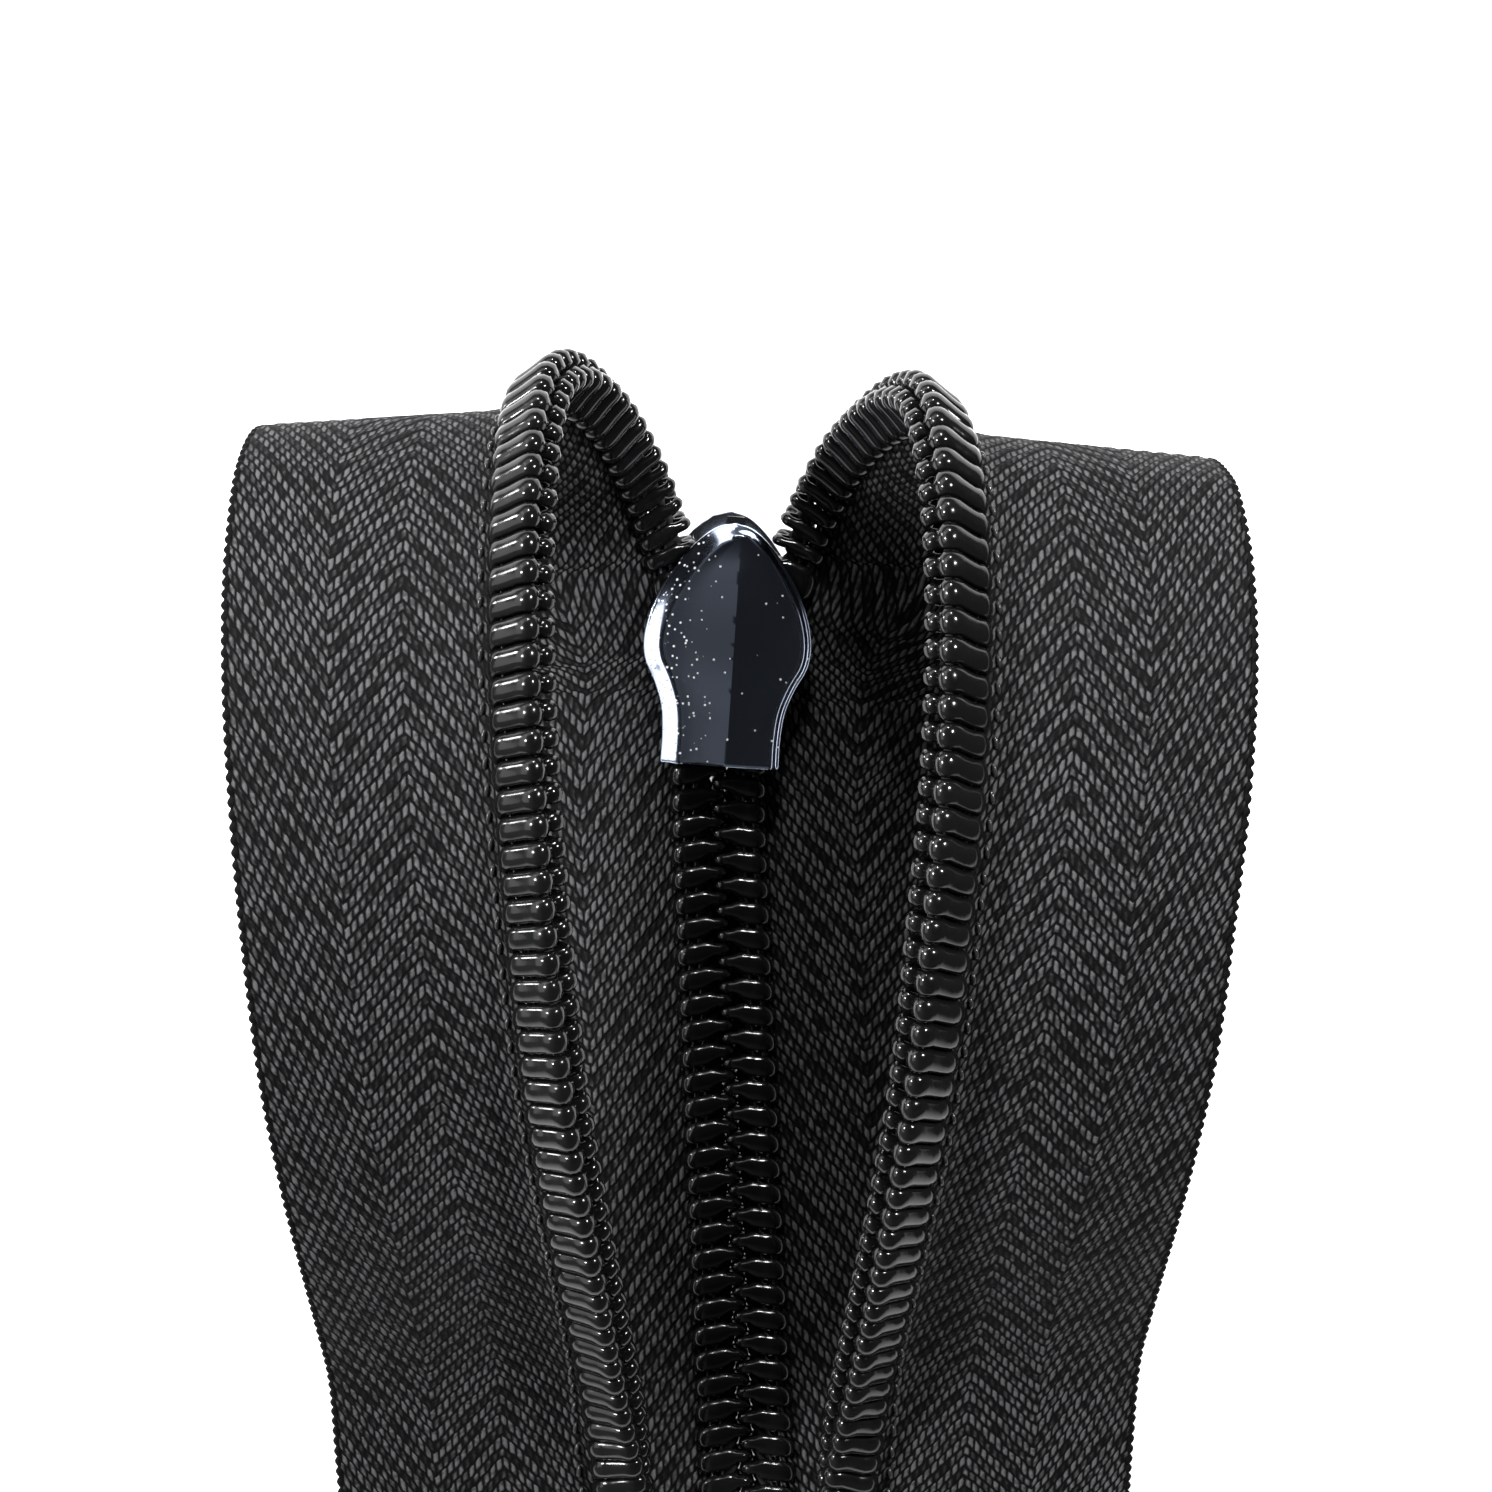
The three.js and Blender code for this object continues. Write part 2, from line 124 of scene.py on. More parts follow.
RIGHT_ROUTE = [
    (axis_x(7.2) + 0.4, 7.2, chain_height(7.2)), (axis_x(10) + 1.45, 10, chain_height(10)),
    (axis_x(12) + 2.5, 12, chain_height(12)), (4.55, 13.6, 5.7), (5.45, 15.5, 6.6),
    (6.5, 17.3, 8.4), (7.7, 19, 11), (8.95, 20.2, 14.2), (10.2, 21, 17.6), (11.3, 21.2, 21),
    (12.2, 20.6, 25), (12.75, 18.4, 28.8), (13, 14.8, 31.5), (13, 10.5, 33),
    (12.75, 5, 33.6), (12.15, -2, 33.1), (11.2, -9.3, 31.7), (10.15, -17.2, 28.8),
    (9, -23.5, 25.2), (7.85, -29, 21), (6.45, -35.5, 14.6), (5.3, -40.5, 9.6),
    (4.75, -43.8, 6.9), (4.6, -47, 5.2), (4.7, -50.5, 4.45), (4.8, -54, 4.25)]


def catmull_rom(points, per_span=60):
    """Centripetal Catmull-Rom curve through the points, as the CAD part draws it."""
    points = np.array(points, float)
    ends = np.vstack([2 * points[0] - points[1], points, 2 * points[-1] - points[-2]])
    t = np.linspace(0, 1, per_span, endpoint=False)[:, None]
    spans = []
    for p0, p1, p2, p3 in zip(ends, ends[1:], ends[2:], ends[3:]):
        d0, d1, d2 = (np.sum((b - a) ** 2) ** 0.25 for a, b in ((p0, p1), (p1, p2), (p2, p3)))
        m1 = ((p1 - p0) / d0 - (p2 - p0) / (d0 + d1) + (p2 - p1) / d1) * d1
        m2 = ((p2 - p1) / d1 - (p3 - p1) / (d1 + d2) + (p3 - p2) / d2) * d1
        square = -3 * p1 + 3 * p2 - 2 * m1 - m2
        cube = 2 * p1 - 2 * p2 + m1 + m2
        spans.append(p1 + m1 * t + square * t**2 + cube * t**3)
    return np.vstack([*spans, points[-1:]])


def smooth(x, low, high):
    t = np.clip((x - low) / (high - low), 0, 1)
    return t * t * (3 - 2 * t)


STEP_S, STEP_U, WIDEST = 0.25, 0.2, 19.2   # the stringer tables' steps, and how far out they go


def unit(v):
    return v / np.linalg.norm(v, axis=-1, keepdims=True)


def make_line(route, side):
    """Tables of where each (s, u) of a stringer lies and which way it faces."""
    dense = catmull_rom(SHARED + route)
    along = np.r_[0, np.cumsum(np.linalg.norm(np.diff(dense, axis=0), axis=1))]
    count = int(along[-1] / STEP_S) + 1
    s = np.linspace(0, along[-1], count)
    centre = np.stack([np.interp(s, along, dense[:, k]) for k in range(3)], axis=1)
    tangent = unit(np.gradient(centre, axis=0))
    yaw = YAW[side] * smooth(s, *YAW_RUN[:2]) * (1 - smooth(s, *YAW_RUN[2:]))
    outward = unit(np.stack([side + 0 * s, -yaw, 0 * s], 1))
    lean = np.sum(tangent * outward, axis=1)
    across = unit(outward - tangent * lean[:, None])
    normal = np.cross(across, tangent) * side
    angle = np.arcsin(lean)
    ramp = smooth(s, TILT_FROM, TILT_FULL)
    stand = ramp * smooth(along[-1] - s, *LANDING)

    def ruling(u):
        shear = angle * SHEAR * smooth(u, *SHEAR_ACROSS)
        droop = TAPE_DROOP * (1 - ramp) * smooth(u, *DROOP_ACROSS)
        tilt = HEAD_TILT * stand * (1 - smooth(u, *TILT_ACROSS)) + droop
        flat = across * np.cos(shear)[:, None] + tangent * np.sin(shear)[:, None]
        direction = flat * np.cos(tilt)[:, None] + normal * np.sin(tilt)[:, None]
        up = normal * np.cos(tilt)[:, None] - flat * np.sin(tilt)[:, None]
        return direction, up

    places, ups = [centre + SHIFT], [ruling(0.0)[1]]
    for u in np.arange(STEP_U, WIDEST, STEP_U):
        places.append(places[-1] + ruling(u - STEP_U / 2)[0] * STEP_U)
        ups.append(ruling(u)[1])
    return {"side": side, "length": along[-1], "step": s[1], "place": np.stack(places, 1),
            "up": np.stack(ups, 1), "first": ruling(0.0)[0]}


def place(line, s, u, w):
    """Points of the stringer's (s, u, w), in millimetres in the CAD frame."""
    s, u, w = np.broadcast_arrays(np.asarray(s, float), u, w)
    a = np.clip(s / line["step"], 0, len(line["first"]) - 1.001)
    b = np.clip(u / STEP_U, 0, line["up"].shape[1] - 1.001)
    i, j = a.astype(int), b.astype(int)
    f, g = (a - i)[..., None], (b - j)[..., None]

    def mixed(table):
        low = table[i, j] * (1 - g) + table[i, j + 1] * g
        high = table[i + 1, j] * (1 - g) + table[i + 1, j + 1] * g
        return low * (1 - f) + high * f

    inward = line["first"][i] * np.minimum(u, 0)[..., None]
    return mixed(line["place"]) + mixed(line["up"]) * w[..., None] + inward


LINES = {"left": make_line(LEFT_ROUTE, -1), "right": make_line(RIGHT_ROUTE, 1)}


# ---- meshes -------------------------------------------------------------------------------
def new_mesh(name, points, faces, smooth_shading=True):
    """A mesh object from points in millimetres, its faces turned outward."""
    mesh = bpy.data.meshes.new(name)
    mesh.from_pydata((np.asarray(points).reshape(-1, 3) * MM).tolist(), [], faces)
    mesh.polygons.foreach_set("use_smooth", [smooth_shading] * len(mesh.polygons))
    mesh.update()
    obj = bpy.data.objects.new(name, mesh)
    bpy.context.scene.collection.objects.link(obj)
    return obj


def signed_volume(points, faces):
    p = np.asarray(points).reshape(-1, 3)
    p = p - p.mean(0)
    quads = np.array([f for f in faces if len(f) == 4])
    total = 0.0
    for a, b, c in ((0, 1, 2), (0, 2, 3)):
        total += np.sum(p[quads[:, a]] * np.cross(p[quads[:, b]], p[quads[:, c]]))
    return total


def grid_faces(rows, columns):
    """Quads round a tube of rows rings with columns points each, and its two end caps."""
    i, k = np.meshgrid(np.arange(rows - 1), np.arange(columns), indexing="ij")
    nxt = (k + 1) % columns
    quads = np.stack([i * columns + k, i * columns + nxt,
                      (i + 1) * columns + nxt, (i + 1) * columns + k], -1).reshape(-1, 4)
    faces = quads.tolist()
    faces.append(np.arange(columns)[::-1].tolist())
    faces.append((np.arange(columns) + (rows - 1) * columns).tolist())
    return faces


def outward(points, faces):
    return faces if signed_volume(points, faces) > 0 else [f[::-1] for f in faces]


def tubes(name, rings_list):
    """One object of several closed tubes. Each is an array of rings, rows x columns x 3."""
    points, faces, first = [], [], 0
    for rings in rings_list:
        rows, columns = rings.shape[:2]
        own = outward(rings, grid_faces(rows, columns))
        faces += [[v + first for v in f] for f in own]
        points.append(rings.reshape(-1, 3))
        first += rows * columns
    return new_mesh(name, np.vstack(points), faces)


def round_tube(line, s, u, w, radius, sides=7):
    """Rings of a thread that runs along the stringer through the points (s, u, w)."""
    angle = np.linspace(0, 2 * np.pi, sides, endpoint=False)
    s, u, w, radius = (np.asarray(x)[:, None] for x in np.broadcast_arrays(s, u, w, radius))
    return place(line, s + 0 * angle, u + radius * np.cos(angle), w + radius * np.sin(angle))


# ---- coil ---------------------------------------------------------------------------------
HEAD_U = -0.13                       # middle of the wire at the heads
BEND_U = COIL_OUT - WIRE
LEG_W = COIL_HALF - WIRE
HEAD_CORNER, BEND_CORNER = 0.38, 0.55
HEAD_HALF, LEG_HALF = 0.37, 0.66     # the flattened wire's half width along the chain
LOOP_HALF = {"front": 0.62, "back": 0.74}   # the same on the loops
LEG_LIFT = 0.03                      # how a leg rises towards its bend, per mm squared
HEAD_GROOVE = 0.62                   # how deep the heads are pressed in at their middle
WIRE_SIDES = 12
THICKER = 0.2                        # how much thicker the coil is on the loops
COIL_START = COIL_FROM + 0.5         # where the first turn begins
# How far along the pitch the wire has come at each stretch of a turn.
ADVANCE = {"rise": 0.22, "upper_leg": 0.37, "head": 0.45, "bend": 0.97}
LOWER_LEG = {-1: 0.58, 1: 0.74}      # the same at the lower leg, on each stringer


def arc(cu, cw, radius, start, end, count):
    angle = np.radians(np.linspace(start, end, count))
    return np.stack([cu + radius * np.cos(angle), cw + radius * np.sin(angle)], 1)


def on_loop(s):
    """0 on the closed chain, 1 on the loops."""
    return smooth(s, 84, 104)


def turn_outline(lower_leg):
    """One turn seen along the chain: (u, w) points, and the advance at each."""
    run = lambda a, b, n: np.linspace(a, b, n + 2)[1:-1]
    top_bend = arc(BEND_U - BEND_CORNER, LEG_W - BEND_CORNER, BEND_CORNER, 0, 90, 5)
    top_head = arc(HEAD_U + HEAD_CORNER, LEG_W - HEAD_CORNER, HEAD_CORNER, 90, 180, 5)
    low_head = top_head[::-1] * [1, -1]
    low_bend = top_bend[::-1] * [1, -1]
    parts = [
        (np.vstack([[[BEND_U, 0]], top_bend]), 0, ADVANCE["rise"]),
        (run(top_bend[-1], top_head[0], 5), ADVANCE["rise"], ADVANCE["upper_leg"]),
        (np.vstack([top_head, run(top_head[-1], low_head[0], 3), low_head]),
         ADVANCE["upper_leg"], ADVANCE["head"]),
        (run(low_head[-1], low_bend[0], 5), ADVANCE["head"], lower_leg),
        (low_bend, lower_leg, ADVANCE["bend"]),
    ]
    outline = np.vstack([p for p, _, _ in parts])
    advance = np.concatenate([np.linspace(a, b, len(p)) for p, a, b in parts])
    return outline, advance


def turn_shape(lower_leg):
    """A turn as it is pressed: its line, advance, outward direction and the wire's half sizes."""
    line, advance = turn_outline(lower_leg)
    at_head = 1 - smooth(line[:, 0], 0.1, 0.75)
    groove = at_head * (1 - smooth(np.abs(line[:, 1]), 0.1, 0.48))
    line[:, 0] += HEAD_GROOVE * groove
    line[:, 1] += LEG_LIFT * np.maximum(line[:, 0] - 0.7, 0) ** 2 * np.clip(line[:, 1] / LEG_W, -1, 1)
    leg = smooth(line[:, 0], 0.45, 1.05) * (1 - 0.15 * smooth(line[:, 0], 2.2, 2.6))
    width = HEAD_HALF + (LEG_HALF - HEAD_HALF) * leg
    behind = line[:, 1] < -0.3
    on_loops = np.where(behind, LOOP_HALF["back"], LOOP_HALF["front"]) * (1 - 0.35 * groove)
    ahead = unit(np.roll(line, -1, 0) - np.roll(line, 1, 0))
    return {"line": line, "advance": advance, "out": np.stack([ahead[:, 1], -ahead[:, 0]], 1),
            "width": width, "spare": np.maximum(on_loops - width, 0), "behind": behind,
            "depth": WIRE - 0.1 * groove}


def build_coil(name, line, phase):
    shape = turn_shape(LOWER_LEG[line["side"]])
    count = len(shape["line"])
    turns = int((line["length"] - STOP_BEFORE_END - 0.6 - COIL_FROM) / PITCH) - 1
    k = np.tile(np.arange(count), turns)
    turn = np.repeat(np.arange(turns), count)
    s = COIL_START + PITCH * (turn + phase + shape["advance"][k])
    angle = np.linspace(0, 2 * np.pi, WIRE_SIDES, endpoint=False)
    widened = np.where(shape["behind"][k], smooth(s, 90, 110), smooth(s, 80, 96))
    half = shape["width"][k] + shape["spare"][k] * widened
    ring_s = s[:, None] + half[:, None] * np.cos(angle)
    thicker = THICKER * on_loop(s)[:, None]
    thick = shape["depth"][k][:, None] * (1 + 1.6 * thicker) * np.sin(angle)
    middle, out = shape["line"][k], shape["out"][k]
    ring_u = middle[:, :1] + out[:, :1] * thick
    ring_w = middle[:, 1:] * (1 + 0.9 * thicker) + out[:, 1:] * thick
    return tubes(name, [place(line, ring_s, ring_u, ring_w)])


# ---- cords and threads --------------------------------------------------------------------
STRANDS, STRAND_RADIUS = 3, 0.27
CORE_TWIST = 2.3                     # length of one twist
CORE_U, CORE_FLAT = 1.02, (0.40, 0.19)   # the cord's middle, and how far its strands keep from it
NEEDLE_U = {"a": 1.5, "b": 2.1}
LOOPER_U, DASH_U = 1.95, 3.75
THREAD_RADIUS = 0.08
THREAD_CLIMB = 0.22                  # how far a thread rises over each leg and dips between
DASH_RADIUS, DASH_LENGTH = 0.16, 0.85


def build_core(name, line):
    """Strands twisted into a flat cord inside the coil."""
    s = np.arange(COIL_FROM, line["length"] - STOP_BEFORE_END - 0.5, 0.2)
    strands = []
    for k in range(STRANDS):
        angle = 2 * np.pi * (s / CORE_TWIST + k / STRANDS)
        u, w = CORE_U + CORE_FLAT[0] * np.cos(angle), CORE_FLAT[1] * np.sin(angle)
        strands.append(round_tube(line, s, u, w, STRAND_RADIUS))
    return tubes(name, strands)


def leg_phase(line, phase, face):
    """Where along the pitch a leg crosses the stitching, on the coil side or the other."""
    share = ADVANCE["rise"] if face > 0 else LOWER_LEG[line["side"]]
    return COIL_START + PITCH * (phase + share)


def stitch_row(line, phase, u, face):
    """A thread that climbs over every leg and dips between them."""
    s = np.arange(COIL_FROM + 0.4, line["length"] - STOP_BEFORE_END - 0.7, PITCH / 12)
    turn = 2 * np.pi * (s - leg_phase(line, phase, face)) / PITCH
    climb = COIL_HALF - 0.30 + THREAD_CLIMB * np.cos(turn)
    w = face * climb * (1 + THICKER * on_loop(s))
    return round_tube(line, s, u + 0.05 * np.sin(turn), w, THREAD_RADIUS, 6)


def dash_row(line, u, face):
    """Short glossy stitches that show on the tape beside the coil."""
    dashes = []
    t = np.linspace(0, 1, 9)
    for start in np.arange(COIL_FROM + 2, line["length"] - STOP_BEFORE_END - 2, PITCH):
        radius = DASH_RADIUS * np.sqrt(np.maximum(1 - (2 * t - 1) ** 4, 0.02))
        w = face * (TAPE_HALF + 0.04 + 0.12 * np.sin(np.pi * t))
        dashes.append(round_tube(line, start + DASH_LENGTH * t, u + 0.14 * t, w, radius))
    return dashes


# ---- tape ---------------------------------------------------------------------------------
RIB_PERIOD = 1.55                    # one diagonal rib of the herringbone, along the tape
OUTER_PANEL, MIDDLE_PANEL = 5.7, 9.8  # from the selvage to where the ribs change direction
RIB_SLOPES = (1.5, 1.05, 1.15)       # of the ribs in each panel, from the selvage inward
RIB_HEIGHT = 0.045
YARN = 0.42                          # spacing of the lengthwise yarns
LOOP_PITCH = 0.72                    # spacing of the loops along the selvage


def rib_shift(u):
    """How far along the tape a rib has come at u, from its start at the selvage."""
    v = TAPE_OUT - u
    corners = [0, OUTER_PANEL, MIDDLE_PANEL, TAPE_OUT]
    drop = RIB_SLOPES[0] * OUTER_PANEL
    rise = RIB_SLOPES[1] * (MIDDLE_PANEL - OUTER_PANEL)
    last = drop - rise + RIB_SLOPES[2] * (TAPE_OUT - MIDDLE_PANEL)
    return np.interp(v, corners, [0, drop, drop - rise, last])


def build_tape(name, line):
    s = np.arange(0, line["length"], 0.33)
    u = np.linspace(TAPE_IN, TAPE_OUT, 56)
    rib = RIB_HEIGHT * np.cos(2 * np.pi * (s[:, None] - rib_shift(u)[None]) / RIB_PERIOD)
    thin = TAPE_HALF * (1 - 0.35 * smooth(u, TAPE_OUT - 0.5, TAPE_OUT))[None]
    thin = thin * (0.25 + 0.75 * smooth(u, TAPE_IN - 0.2, TAPE_IN + 0.6))[None]
    grid_s = np.repeat(s[:, None], len(u), 1)
    grid_u = np.repeat(u[None], len(s), 0)
    top = place(line, grid_s, grid_u, thin + rib)
    bottom = place(line, grid_s, grid_u, -thin + rib)[:, ::-1]
    rings = np.concatenate([top, bottom], 1)
    obj = new_mesh(name, rings, outward(rings, grid_faces(len(s), 2 * len(u))))
    across = np.concatenate([grid_u, grid_u[:, ::-1]], 1)
    along = np.repeat(s[:, None], 2 * len(u), 1)
    data = np.stack([along, across, rib_shift(across)], -1)
    weave = obj.data.attributes.new("weave", "FLOAT_VECTOR", "POINT")
    weave.data.foreach_set("vector", data.astype(np.float32).ravel())
    return obj


def build_selvage(name, line):
    """The looped outer edge: a cord whose thickness swells at every pick."""
    s = np.arange(0.2, line["length"] - 0.2, 0.12)
    swell = np.abs(np.sin(np.pi * s / LOOP_PITCH))
    rings = round_tube(line, s, TAPE_OUT - 0.02 + 0.10 * swell, 0 * s, 0.15 + 0.11 * swell)
    return tubes(name, [rings])


# ---- slider -------------------------------------------------------------------------------
def slider_point(x, y, w):
    """Points in the slider's own plane, x across, y along and w out, in the CAD frame."""
    x, y, w = np.broadcast_arrays(np.asarray(x, float), y, w)
    yaw, tilt = -math.atan(AXIS_LEAN), math.atan(CHAIN_SLOPE)
    across = x * math.cos(yaw) - y * math.sin(yaw)
    along = x * math.sin(yaw) + y * math.cos(yaw)
    points = np.stack([across, along * math.cos(tilt) - w * math.sin(tilt),
                       along * math.sin(tilt) + w * math.cos(tilt)], -1)
    return points + SHIFT + [AXIS_X, 0, chain_height(0)]


PLATE_LENGTH = 14.6
PLATE_SIDE = np.array([
    (0, 3.55), (1.8, 3.55), (3.4, 3.72), (4.9, 4.25), (6.1, 4.85), (7.2, 5.03), (8.6, 4.85),
    (10.3, 4.25), (12, 3.25), (13.4, 2.15), (14.3, 1.05), (14.6, 0.0)])
EDGE_POINTS = 70                     # along each side of a plate
PLATE_LOW, FRONT_TOP, REAR_TOP = 1.72, 2.95, 2.70   # heights out from the chain's middle
ROOF = 0.42                          # how far the ridge stands above the front plate's edge
RIDGE_X = 0.4                        # the ridge runs a little right of the middle
REAR_LARGER, REAR_ASIDE = np.array([1.04, 1.045]), np.array([-0.3, 0])
OVERLAP = 0.04                       # the plates stand this far outside the CAD body's


def plate_edge(inset):
    """The sides and nose of a plate as one open line, moved inward by inset."""
    curve = catmull_rom(np.c_[PLATE_SIDE[:, 1], PLATE_SIDE[:, 0], 0 * PLATE_SIDE[:, 0]], 20)
    along = np.r_[0, np.cumsum(np.linalg.norm(np.diff(curve, axis=0), axis=1))]
    at = np.linspace(0, along[-1], EDGE_POINTS)
    right = np.stack([np.interp(at, along, curve[:, k]) for k in range(2)], 1)
    edge = np.vstack([right, right[:-1][::-1] * [-1, 1]])
    ahead = unit(np.gradient(edge, axis=0))
    moved = edge + inset * np.stack([-ahead[:, 1], ahead[:, 0]], 1)
    crossed = edge[:, 0] * moved[:, 0] < 0
    moved[crossed, 0] = 0
    moved[[0, -1], 1] = 0
    return moved


def close_plate(edge):
    """The same line closed by a straight row of points across the neck's end."""
    share = np.linspace(0, 1, 15)[1:-1, None]
    return np.vstack([edge[-1] * (1 - share) + edge[0] * share, edge])


def plate_object(name, rings, across):
    """A plate from its rings, with how far across it each point lies kept for its material."""
    rows, columns = rings.shape[:2]
    obj = new_mesh(name, rings, outward(rings, grid_faces(rows, columns)[:-1]))
    side = obj.data.attributes.new("across", "FLOAT", "POINT")
    side.data.foreach_set("value", across.astype(np.float32).ravel())
    merge_close(obj)
    return obj


def rounded_edge(low, top, width, depth):
    """Steps (inset, height) up the side of a plate and round on to its face."""
    turn = np.radians(np.linspace(0, 90, 8))
    side = [(0.35, low), (0.06, low), (0.0, low + 0.08)]
    return side + [(width * (1 - math.cos(a)), top - depth * (1 - math.sin(a))) for a in turn]


def broad_edge(low, top):
    """The same with a broad bevel that turns gently on to the face."""
    return rounded_edge(low, top - 0.5, 0.2, 0.22)[:-1] + [
        (0.24, top - 0.47), (0.6, top - 0.24), (0.95, top - 0.05), (1.1, top), (1.22, top + 0.02)]


def build_front_plate(name):
    """The plate on top: a shallow roof with a ridge, rounded down to its sides."""
    steps = broad_edge(PLATE_LOW, FRONT_TOP)
    right = smooth(close_plate(plate_edge(0))[:, :1], -1.0, 1.2)
    flat = []
    for inset, _ in steps:
        narrow = min(inset, 0.2 + 0.3 * (inset - 0.2)) if inset > 0.2 else inset
        left_side = close_plate(plate_edge(inset - OVERLAP))
        right_side = close_plate(plate_edge(narrow - OVERLAP))
        flat.append(left_side * (1 - right) + right_side * right)
    heights = [np.full(len(flat[0]), height) for _, height in steps]
    inner = flat[-1]
    half = np.interp(inner[:, 1], PLATE_SIDE[:, 0], PLATE_SIDE[:, 1])
    rise = ROOF * np.clip(half / 4.0, 0.25, 1.1)
    rise = rise * smooth(PLATE_LENGTH - inner[:, 1], 0.6, 3.2)
    for share in (0.93, 0.6, 0.3, 0.06, 0.0):
        flat.append(np.stack([RIDGE_X + (inner[:, 0] - RIDGE_X) * share, inner[:, 1]], 1))
        heights.append(FRONT_TOP + (1 - share) * rise)
    flat, heights = np.stack(flat), np.stack(heights)
    return plate_object(name, slider_point(flat[..., 0], flat[..., 1], heights), flat[..., 0])


def build_rear_plate(name):
    """The plate underneath, flat and a little larger than the one on top."""
    steps = rounded_edge(PLATE_LOW, REAR_TOP, 0.35, 0.4)
    edges = [close_plate(plate_edge(inset - OVERLAP)) for inset, _ in steps]
    flat = [edge * REAR_LARGER + REAR_ASIDE for edge in edges]
    heights = [np.full(len(flat[0]), -height) for _, height in steps]
    inner = flat[-1]
    for share in (0.6, 0.2, 0.0):
        flat.append((inner - REAR_ASIDE) * [share, 1] + REAR_ASIDE)
        heights.append(heights[-1])
    flat, heights = np.stack(flat), np.stack(heights)
    return plate_object(name, slider_point(flat[..., 0], flat[..., 1], heights), flat[..., 0])


def merge_close(obj, distance=2e-5):
    """Joins points that meet, as along a ridge, and drops faces with no area."""
    bm = bmesh.new()
    bm.from_mesh(obj.data)
    bmesh.ops.remove_doubles(bm, verts=bm.verts, dist=distance)
    bmesh.ops.dissolve_degenerate(bm, edges=bm.edges, dist=1e-6)
    bmesh.ops.recalc_face_normals(bm, faces=bm.faces)
    bm.to_mesh(obj.data)
    bm.free()


# ---- materials ----------------------------------------------------------------------------
class Nodes:
    """Short ways to write a node tree."""

    def __init__(self, name):
        self.material = bpy.data.materials.new(name)
        self.material.use_nodes = True
        self.tree = self.material.node_tree
        self.shader = self.tree.nodes["Principled BSDF"]

    def node(self, kind, **settings):
        made = self.tree.nodes.new(kind)
        for key, value in settings.items():
            setattr(made, key, value)
        return made

    def link(self, source, target):
        self.tree.links.new(source, target)

    def fill(self, socket, value):
        if isinstance(value, bpy.types.NodeSocket):
            self.link(value, socket)
        else:
            socket.default_value = value

    def math(self, operation, *values):
        made = self.node("ShaderNodeMath", operation=operation)
        for socket, value in zip(made.inputs, values):
            self.fill(socket, value)
        return made.outputs[0]

    def range(self, value, low, high, to_low=0.0, to_high=1.0):
        made = self.node("ShaderNodeMapRange", interpolation_type="SMOOTHSTEP")
        for name, number in zip(("Value", "From Min", "From Max", "To Min", "To Max"),
                                (value, low, high, to_low, to_high)):
            self.fill(made.inputs[name], number)
        return made.outputs[0]

    def mix(self, share, a, b):
        made = self.node("ShaderNodeMix", data_type="RGBA")
        self.fill(made.inputs["Factor"], share)
        self.fill(made.inputs["A"], a)
        self.fill(made.inputs["B"], b)
        return made.outputs["Result"]

    def noise(self, scale, detail=3.0):
        made = self.node("ShaderNodeTexNoise")
        made.inputs["Scale"].default_value = scale
        made.inputs["Detail"].default_value = detail
        self.link(self.node("ShaderNodeTexCoord").outputs["Object"], made.inputs["Vector"])
        return made.outputs[0]

    def bump(self, height, depth_mm, strength=1.0):
        made = self.node("ShaderNodeBump")
        made.inputs["Strength"].default_value = strength
        made.inputs["Distance"].default_value = depth_mm * MM
        self.link(height, made.inputs["Height"])
        self.link(made.outputs[0], self.shader.inputs["Normal"])

    def set(self, **values):
        for key, value in values.items():
            self.fill(self.shader.inputs[key.replace("_", " ")], value)


def grey(value, blue=1.0):
    return (value, value, value * blue, 1)


def woven_material():
    """Chains of knuckles along the ribs, every second chain fainter, over dark gaps; the colour
    paints the knuckles bright as painted highlight and the gaps near black as painted shade.

    The tape's "weave" attribute holds s, u and the rib's shift at u, in millimetres.
    """
    n = Nodes("herringbone_tape")
    where = n.node("ShaderNodeAttribute", attribute_name="weave").outputs["Vector"]
    parts = n.node("ShaderNodeSeparateXYZ")
    n.link(where, parts.inputs[0])
    s, u, g = parts.outputs
    wobble = n.math("MULTIPLY", n.math("SUBTRACT", n.noise(1000, 2), 0.5), 0.55)
    rib = n.math("DIVIDE", n.math("ADD", n.math("SUBTRACT", s, g), wobble), RIB_PERIOD)
    wave = n.math("COSINE", n.math("MULTIPLY", rib, 2 * math.pi))
    across = n.math("MULTIPLY", u, math.pi / YARN)
    warp = n.math("ABSOLUTE", n.math("SINE", across))
    between = n.math("ABSOLUTE", n.math("COSINE", across))
    strong = n.math("MULTIPLY", n.range(wave, -0.1, 0.75), n.math("POWER", warp, 1.3))
    faint = n.math("MULTIPLY", n.range(wave, -0.2, -0.8), n.math("POWER", between, 1.1))
    worn = n.range(n.noise(700, 2), 0.35, 0.65, 0.25, 0.75)
    height = n.math("ADD", strong, n.math("MULTIPLY", faint, worn))
    fibre = n.noise(4200, 2)
    n.bump(n.math("ADD", height, n.math("MULTIPLY", fibre, 0.3)), 0.12, 0.9)
    # Painted highlight and painted shade: raised knuckles get a bright base colour, flecked with
    # random painted glints, while the gaps stay near black.
    glint = n.range(n.noise(2300, 1), 0.36, 0.70, 0.5, 1.8)
    lit = n.math("MULTIPLY", n.range(height, 0.1, 0.95), glint)
    patch = n.range(n.noise(60, 2), 0.35, 0.7, 0.8, 1.15)
    n.set(Base_Color=n.mix(n.math("MULTIPLY", lit, patch), grey(0.0015), grey(0.074, 1.04)))
    n.set(Roughness=0.7, Specular_IOR_Level=0.07)
    return n.material


